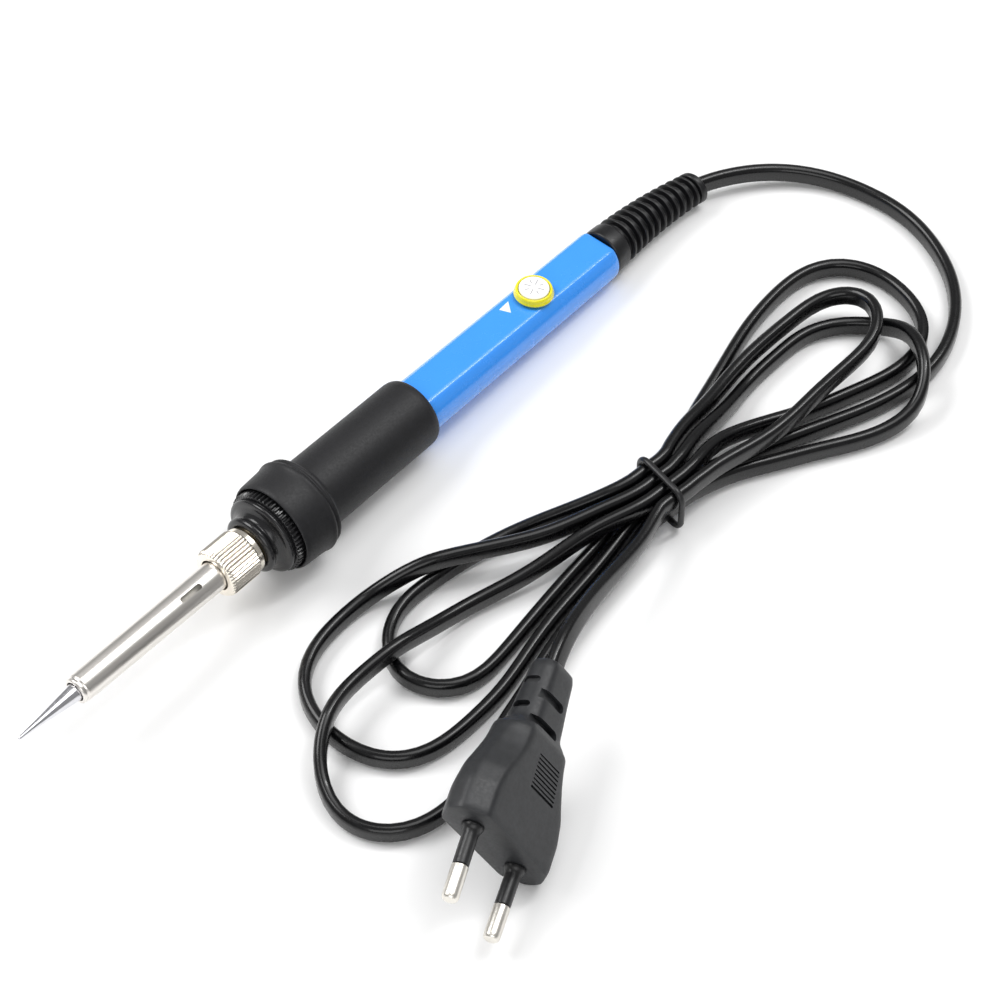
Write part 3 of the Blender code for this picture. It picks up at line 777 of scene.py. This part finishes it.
FRONT_WIDE_LOOP = [
    (42, -67, 2.8),
    (32, -68, 2.8),
    (24, -69, 2.8),
    (13, -71, 2.8),
    (1, -74, 2.8),
    (-10, -76, 2.8),
    (-21, -80, 2.8),
    (-31, -81, 2.8),
    (-39, -80, 2.8),
    (-47, -75, 2.8),
    (-51, -66, 2.8),
    (-48, -56, 3.5),
    (-43, -50, 6),
    (-36, -46, 8.5),
    (-25, -43, 7),
    (-15, -44, 8.5),
    (-3, -45, 6.5),
    (14, -47, 3.5),
    (28, -52, 5),
    (42, -56, 7.4),
    (55, -60, 9.6),
]
REAR_LOOP = [
    (90, -63, 7.6),
    (102, -66, 5),
    (116, -72, 3.5),
    (129, -77, 2.8),
    (141, -81, 2.8),
    (151, -81, 2.8),
    (159, -77, 2.8),
    (164, -67, 2.8),
    (165, -57, 2.8),
    (161, -48, 2.8),
    (153, -43, 2.8),
    (142, -42, 2.8),
    (129, -43, 2.8),
    (116, -46, 2.8),
    (104, -49, 2.8),
    (92, -52, 3.0),
]
FRONT_SMALL_LOOP = [
    (52, -59, 3.2),
    (42, -59, 2.8),
    (31, -60, 2.8),
    (20, -61, 2.8),
    (9, -62, 2.8),
    (-2, -62, 2.8),
    (-9, -57, 2.8),
    (-12, -49, 2.8),
    (-9, -41, 2.8),
    (-4, -37, 2.8),
    (5, -34, 2.8),
    (14, -35, 2.8),
    (26, -37, 2.8),
    (39, -42, 4.5),
    (54, -51, 8),
]
REAR_TIGHT_LOOP = [
    (85, -55, 9.4),
    (98, -54, 7.5),
    (112, -52, 6),
    (126, -52, 5.5),
    (140, -52, 5.8),
    (148, -55, 7.4),
    (152, -62, 8.5),
    (149, -69, 8.7),
    (141, -73, 8.7),
    (130, -73, 8.6),
    (116, -73, 8.7),
    (102, -73, 9.7),
    (91, -71, 9.6),
    (80, -68, 10.2),
]
PLUG_LEAD = [
    (56, -69, 10.6),
    (40, -71.5, 13),
    (26, -74.5, 17.2),
    (14, -78, 20.6),
]
RUNS = [
    LEAD,
    FRONT_LOOP,
    REAR_NEAR_LOOP,
    FRONT_WIDE_LOOP,
    REAR_LOOP,
    FRONT_SMALL_LOOP,
    REAR_TIGHT_LOOP,
    PLUG_LEAD,
]


def route_points():
    """All of the cord's route points, and which of them stay where they are."""
    points, held = [], []
    for run, points_of_run in enumerate(RUNS):
        for i, point in enumerate(points_of_run):
            points.append(point)
            held.append(run == 0 and i < 6)
        if run == len(TIE_PASSES):
            continue
        side, height = TIE_PASSES[run]
        centre = TIE_CENTRE + TIE_SIDE * side
        way = 1 if centre.x > points[-1][0] else -1
        for step in (-6, 0, 6):
            spot = centre + TIE_WAY * step * way
            points.append((spot.x, spot.y, height))
            held.append(True)
    points.append(tuple(CORD_END + 3.0 * -PIN_WAY))
    points.append(tuple(CORD_END))
    held += [True, True]
    return np.array(points), np.array(held)


def smooth_curve(points, per_span=12):
    """Centripetal Catmull-Rom curve through the points."""
    ends = np.vstack([2 * points[0] - points[1], points, 2 * points[-1] - points[-2]])
    curve = []
    for a, b, c, d in zip(ends, ends[1:], ends[2:], ends[3:]):
        t1 = np.linalg.norm(b - a) ** 0.5
        t2 = t1 + np.linalg.norm(c - b) ** 0.5
        t3 = t2 + np.linalg.norm(d - c) ** 0.5
        for t in np.linspace(t1, t2, per_span, endpoint=False):
            ab = (t1 - t) / t1 * a + t / t1 * b
            bc = (t2 - t) / (t2 - t1) * b + (t - t1) / (t2 - t1) * c
            cd = (t3 - t) / (t3 - t2) * c + (t - t2) / (t3 - t2) * d
            abc = (t2 - t) / t2 * ab + t / t2 * bc
            bcd = (t3 - t) / (t3 - t1) * bc + (t - t1) / (t3 - t1) * cd
            curve.append((t2 - t) / (t2 - t1) * abc + (t - t1) / (t2 - t1) * bcd)
    curve.append(points[-1])
    return np.array(curve)


def evenly(curve, step):
    along = np.concatenate([[0], np.cumsum(np.linalg.norm(np.diff(curve, axis=0), axis=1))])
    wanted = np.linspace(0, along[-1], int(round(along[-1] / step)) + 1)
    return np.stack([np.interp(wanted, along, curve[:, k]) for k in range(3)], 1)


SETTLE_STEP = 3.0
SETTLE_STIFFNESS = 0.045
SETTLE_RETURN = np.array([0.012, 0.012, 0.004])
SETTLE_PUSH = 0.25
HELD_REACH = 2.2  # how near a held route point keeps the curve where it is
NEIGHBOURS = 7  # steps along the cord that don't push each other
CROSSING_SINE = 0.3


def settle(route, held, rounds=400, clearance=0.95):
    """Lets the strands of the flex push each other apart, over and beside one another."""
    core = FLEX_TALL - FLEX_WIDE
    floor = FLEX_TALL / 2 + 0.05
    start = evenly(smooth_curve(route), SETTLE_STEP)
    apart = np.linalg.norm(start[:, None] - route[held][None], axis=2).min(1)
    free = (apart > HELD_REACH).astype(float)[:, None]
    curve = start.copy()
    first, second = np.triu_indices(len(curve), NEIGHBOURS)
    for _ in range(rounds):
        bend = np.zeros_like(curve)
        bend[1:-1] = curve[:-2] + curve[2:] - 2 * curve[1:-1]
        twice = np.zeros_like(curve)
        twice[1:-1] = bend[:-2] + bend[2:] - 2 * bend[1:-1]
        curve += (-SETTLE_STIFFNESS * twice + (start - curve) * SETTLE_RETURN) * free
        gap = curve[first] - curve[second]
        rise = np.maximum(0, np.abs(gap[:, 2]) - core)
        near = np.sqrt(gap[:, 0] ** 2 + gap[:, 1] ** 2 + rise**2)
        touch = near < FLEX_WIDE + clearance
        a, b = first[touch], second[touch]
        close = np.maximum(near[touch], 1e-3)
        need = FLEX_WIDE + clearance - near[touch]
        upward = np.where(gap[touch, 2] >= 0, 1.0, -1.0)
        push = np.stack([gap[touch, 0], gap[touch, 1], upward * rise[touch]], 1) / close[:, None]
        heading = np.gradient(curve, axis=0)[:, :2]
        heading /= np.maximum(np.linalg.norm(heading, axis=1, keepdims=True), 1e-6)
        sine = heading[a, 0] * heading[b, 1] - heading[a, 1] * heading[b, 0]
        cross = np.abs(sine) > CROSSING_SINE
        push[cross] = 0
        push[cross, 2] = upward[cross]
        need = np.where(cross, np.minimum(need, 1.0), need)
        move = push * (SETTLE_PUSH * need)[:, None]
        total = np.zeros_like(curve)
        count = np.zeros(len(curve))
        np.add.at(total, a, move)
        np.add.at(total, b, -move)
        np.add.at(count, a, 1)
        np.add.at(count, b, 1)
        share = np.minimum(count, 2) / np.maximum(count, 1)
        curve += total * share[:, None] * free
        curve[:, 2] = np.maximum(curve[:, 2], floor)
        fixed = free[:, 0] == 0
        curve[fixed] = start[fixed]
    return curve


CORD_START = 36.0  # how far along the route the shown cord begins, inside the boot
CORD_STEP = 1.6
TURN_LENGTH = 60.0  # over which the flex turns to meet the plug


def flex_rings(path):
    """A stadium section that stands on its edge all the way, and turns to meet the plug."""
    tangent = np.gradient(path, axis=0)
    tangent /= np.linalg.norm(tangent, axis=1, keepdims=True)
    up = np.tile([0.0, 0.0, 1.0], (len(path), 1))
    along = np.concatenate([[0], np.cumsum(np.linalg.norm(np.diff(path, axis=0), axis=1))])
    left = along[-1] - along
    turn = np.clip(1 - left / TURN_LENGTH, 0, 1)[:, None]
    turn = turn * turn * (3 - 2 * turn)
    plug_up = -np.array(ACROSS)
    up = up * (1 - turn) + plug_up * turn
    side = np.cross(up, tangent)
    side /= np.linalg.norm(side, axis=1, keepdims=True)
    up = np.cross(tangent, side)
    half, core, steps = FLEX_WIDE / 2, (FLEX_TALL - FLEX_WIDE) / 2, 28
    section = []
    for i in range(steps):
        angle = 2 * math.pi * (i + 0.5) / steps
        y = half * math.cos(angle)
        z = half * math.sin(angle) + math.copysign(core, math.sin(angle))
        section.append((y, z))
    rings = []
    for point, s, u in zip(path, side, up):
        rings.append([point + y * s + z * u for y, z in section])
    return rings


def flex_cord():
    route, held = route_points()
    path = evenly(settle(route, held), CORD_STEP)
    along = np.concatenate([[0], np.cumsum(np.linalg.norm(np.diff(path, axis=0), axis=1))])
    path = path[along > CORD_START]
    made = new_object(
        "flex_cord",
        skin("flex_cord", flex_rings(path), sharp=60.0),
        ORIGIN,
        FLEX,
        "iron",
        ["mains_cord"],
    )
    world = path * MM + np.array([-MIDDLE * MM, 0, 0])
    return made, world


flex_made, flex_path = flex_cord()


# ------------------------------------------------------------------ band round the hank
def band_piece():
    """A thin round band, drawn a little askew round the strands."""
    half_wide = 5.6 + FLEX_WIDE / 2 + GAP + TIE_R
    low = LOW - FLEX_TALL / 2 - GAP - TIE_R
    high = HIGH + FLEX_TALL / 2 + GAP + TIE_R
    corner = 3.2
    middle = (low + high) / 2
    path = []
    for sy, sz, begin in ((1, 1, 0), (-1, 1, 90), (-1, -1, 180), (1, -1, 270)):
        for i in range(9):
            angle = math.radians(begin + 90 * i / 8)
            y = sy * (half_wide - corner) + corner * math.cos(angle)
            z = middle + sz * ((high - low) / 2 - corner) + corner * math.sin(angle)
            askew = 0.10 * y
            at = TIE_CENTRE + TIE_SIDE * y + TIE_WAY * askew
            path.append((at.x, at.y, z))
    path = np.array(path)
    heading = np.roll(path, -1, 0) - np.roll(path, 1, 0)
    heading /= np.linalg.norm(heading, axis=1, keepdims=True)
    across = np.array([TIE_WAY.x, TIE_WAY.y, 0.0])
    out = np.cross(heading, across)
    out /= np.linalg.norm(out, axis=1, keepdims=True)
    side = np.cross(out, heading)
    rings = []
    for p, o, s in zip(path, out, side):
        ring = []
        for i in range(16):
            angle = 2 * math.pi * i / 16
            ring.append(p + TIE_R * (0.95 * math.cos(angle) * o + 1.15 * math.sin(angle) * s))
        rings.append(ring)
    mesh = skin("hank_band", rings, loop=True)
    return new_object("hank_band", mesh, ORIGIN, BAND, "iron", ["cord_tie"])


band = band_piece()

# ------------------------------------------------------------------ plug
# (distance behind the face, half width, half thickness, how much the corners are cut, crispness)
PLUG_STATIONS = [
    (0.0, 17.1, 6.3, 4.6, 40),
    (0.25, 17.45, 6.65, 4.6, 40),
    (0.7, 17.65, 6.85, 4.6, 40),
    (8.0, 17.6, 6.85, 4.6, 40),
    (13.0, 16.7, 6.85, 4.9, 36),
    (17.0, 15.1, 6.8, 5.2, 32),
    (21.0, 13.4, 6.7, 5.1, 26),
    (24.5, 12.1, 6.5, 4.6, 22),
    (27.2, 11.2, 6.3, 3.9, 18),
    (28.2, 10.3, 6.0, 3.2, 14),
    (29.0, 8.9, 5.5, 3.0, 12),
    (30.2, 7.8, 5.0, 2.9, 12),
    (34.0, 7.4, 4.75, 2.7, 12),
    (40.0, 6.7, 4.35, 2.5, 12),
    (46.4, 6.1, 4.05, 2.3, 12),
    (47.2, 5.7, 3.7, 2.1, 12),
    (PLUG_LENGTH, 5.3, 3.4, 2.0, 12),
]


def eased(stations, spacing):
    """Stations filled in along a monotone curve, so that the sides are fair."""
    table = np.array(stations)
    filled = []
    for a, b in zip(table, table[1:]):
        count = max(1, int(round((b[0] - a[0]) / spacing)))
        for i in range(count):
            filled.append(a + (b - a) * i / count)
    filled.append(table[-1])
    filled = np.array(filled)
    for _ in range(3):
        middle = filled[2:-2]
        filled[2:-2, 1:] = (0.5 * middle + 0.25 * filled[1:-3] + 0.25 * filled[3:-1])[:, 1:]
    return filled


def cut_corner_section(half_wide, half_tall, cut_off, crisp, count=160):
    """A rectangle with its corners cut at 45 degrees and every edge a little rounded."""
    turn = 2 * np.pi * (np.arange(count) + 0.5) / count
    angle = np.arctan2(half_tall * np.sin(turn), half_wide * np.cos(turn))
    y, z = np.cos(angle), np.sin(angle)
    sides = (np.abs(y) / half_wide) ** crisp + (np.abs(z) / half_tall) ** crisp
    corners = ((np.abs(y) + np.abs(z)) / (half_wide + half_tall - cut_off)) ** crisp
    reach = (sides + corners) ** (-1 / crisp)
    return reach * y, reach * z


def plug_rings():
    rings = []
    for back, wide, tall, cut_off, crisp in eased(PLUG_STATIONS, 0.6):
        y, z = cut_corner_section(wide, tall, cut_off, crisp)
        rings.append(np.stack([np.full(len(y), -back), y, z], 1))
    return rings


plug = new_object(
    "plug_moulding",
    skin("plug_moulding", plug_rings(), sharp=35.0),
    PLUG,
    MOULDED,
    "iron",
    ["plug_body"],
)


def joined_cutter(name, shapes):
    """One cutter from (mesh, matrix) pairs that don't touch one another."""
    work = bmesh.new()
    for mesh, matrix in shapes:
        first = len(work.verts)
        work.from_mesh(mesh)
        work.verts.ensure_lookup_table()
        bmesh.ops.transform(work, matrix=matrix, verts=work.verts[first:])
    mesh = bpy.data.meshes.new(name)
    work.to_mesh(mesh)
    work.free()
    return cutter_object(name, mesh, PLUG)


def at(x, y, z, turn=0.0, axis="Z"):
    return Matrix.Translation(Vector((x, y, z)) * MM) @ Matrix.Rotation(math.radians(turn), 4, axis)


def relief_slots():
    """Staggered slots that let the relief bend: across both wide faces and in both edges."""
    shapes = []
    for back in (30.2, 37.6):
        for side in (-1, 1):
            mesh = skin("slot", lozenge(11.0, 2.5, 3.4))
            shapes.append((mesh, at(-back, -2.8 * side, side * 4.8, 90)))
    for back in (33.8, 41.0):
        for side in (-1, 1):
            mesh = skin("notch", lozenge(4.6, 1.9, 3.4))
            turn = Matrix.Rotation(math.radians(90), 4, "X") @ Matrix.Rotation(math.radians(90), 4, "Z")
            shapes.append((mesh, Matrix.Translation(Vector((-back, side * 7.1, 0)) * MM) @ turn))
    return shapes


def grip_grooves():
    """A patch of fine grooves for the fingertips, on both wide faces."""
    shapes = []
    for side in (-1, 1):
        for i in range(9):
            back = 14.4 + 1.04 * i
            deep = 1.3 if i == 0 else 0.9
            mesh = skin("groove", lozenge(9.8 - 0.15 * i, 0.45 if i else 0.7, deep))
            tall = 6.85 - 0.010 * max(0.0, back - 13.0) ** 1.2
            shapes.append((mesh, at(-back, side * (2.2 - 0.08 * i), side * tall, 90)))
    return shapes


PIN_PITCH, PIN_LENGTH, PIN_LEAN = 18.6, 19.0, math.radians(1.2)
PIN_AXES = {}
for word, side in (("left", -1), ("right", 1)):
    lean = Matrix.Rotation(-side * PIN_LEAN, 4, "Z") @ Matrix.Rotation(math.pi / 2, 4, "Y")
    PIN_AXES[word] = Matrix.Translation((0, side * PIN_PITCH / 2 * MM, 0)) @ lean


HOLE_OUTLINE = [(2.2, 3.0), (2.2, -1.2), (1.6, -1.2), (1.6, -8.0)]


def pin_holes():
    """A stepped hole round each pin: wide for its sleeve, then narrow for its shank."""
    shapes = []
    for axis in PIN_AXES.values():
        rings = revolve(HOLE_OUTLINE, 48, None, False)
        shapes.append((skin("hole", rings), axis))
    return shapes


plug_cuts = relief_slots() + grip_grooves() + pin_holes()
subtract(plug, joined_cutter("plug_cuts", plug_cuts), "cuts")

for word, axis in PIN_AXES.items():
    turned(
        f"pin_metal_{word}",
        [
            (0, PIN_LENGTH),
            (1.2, PIN_LENGTH - 0.05),
            (1.65, PIN_LENGTH - 0.25),
            (1.92, PIN_LENGTH - 0.7),
            (2.0, PIN_LENGTH - 1.3),
            (2.0, 10.3),
            (1.3, 10.25),
            (1.3, -7.5),
            (0, -7.5),
        ],
        "iron",
        NICKEL,
        [f"pin_{word}"],
        size=0.12,
        steps=64,
        matrix=PLUG @ axis,
        along=False,
    )
    turned(
        f"pin_shroud_{word}",
        [
            (1.6, 10.05),
            (1.85, 10.05),
            (1.92, 9.9),
            (1.92, 2.2),
            (2.1, 1.5),
            (2.55, 0.8),
            (2.7, 0.06),
            (1.9, 0.06),
            (1.9, -0.9),
            (1.6, -0.9),
        ],
        "iron",
        SLEEVE,
        [f"pin_sleeve_{word}"],
        size=0.2,
        steps=64,
        matrix=PLUG @ axis,
        along=False,
    )

# ------------------------------------------------------------------ carried-over CAD pieces
INSIDES = {
    "heater_rod": CERAMIC,
    "heater_base": CERAMIC,
    "threaded_bush": BRASS,
    "potentiometer_shaft": SATIN,
    "potentiometer_body": CASE,
    "circuit_board": BOARD,
    "triac": CASE,
    "capacitor": FILM,
    "power_resistor": CERAMIC,
    "heater_lead_a": WIRE,
    "heater_lead_b": WIRE,
    "mains_core_a": WIRE,
    "mains_core_b": WIRE,
}
for node, paint in INSIDES.items():
    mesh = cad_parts[node].data
    mesh.materials.clear()
    mesh.materials.append(paint)

# ------------------------------------------------------------------ table and light


def table_top():
    mesh = bpy.data.meshes.new("table_top")
    work = bmesh.new()
    bmesh.ops.create_grid(work, x_segments=2, y_segments=2, size=6.0)
    work.to_mesh(mesh)
    work.free()
    made = bpy.data.objects.new("table_top", mesh)
    bpy.context.scene.collection.objects.link(made)
    paper = surface("table_paper", (0.93, 0.93, 0.93), 0.9, 0.0, 0.005, 60.0, 0.02, 3.0, 0.002)
    mesh.materials.append(paper)


def softbox(name, at_point, toward, size, power):
    data = bpy.data.lights.new(name, "AREA")
    data.shape = "RECTANGLE"
    data.size, data.size_y = size
    data.energy = power
    made = bpy.data.objects.new(name, data)
    made.location = at_point
    made.rotation_euler = (Vector(toward) - Vector(at_point)).to_track_quat("-Z", "Y").to_euler()
    bpy.context.scene.collection.objects.link(made)


table_top()
LIT_POINT = (0, -0.03, 0)
softbox("key", (-0.35, 0.85, 1.15), LIT_POINT, (0.9, 0.7), 13.0)
softbox("top", (0.5, -0.15, 1.45), LIT_POINT, (1.1, 1.1), 9.5)
softbox("strip", (0.72, -0.28, 1.15), (0.03, -0.03, 0), (0.12, 0.7), 4.0)
softbox("fill", (-0.9, -0.7, 0.7), LIT_POINT, (0.9, 0.7), 4.5)
world = bpy.data.worlds.new("studio")
world.use_nodes = True
world.node_tree.nodes["Background"].inputs["Color"].default_value = (1, 1, 1, 1)
world.node_tree.nodes["Background"].inputs["Strength"].default_value = 0.32
bpy.context.scene.world = world
bpy.context.scene.view_settings.view_transform = "Standard"
bpy.context.scene.view_settings.look = "None"
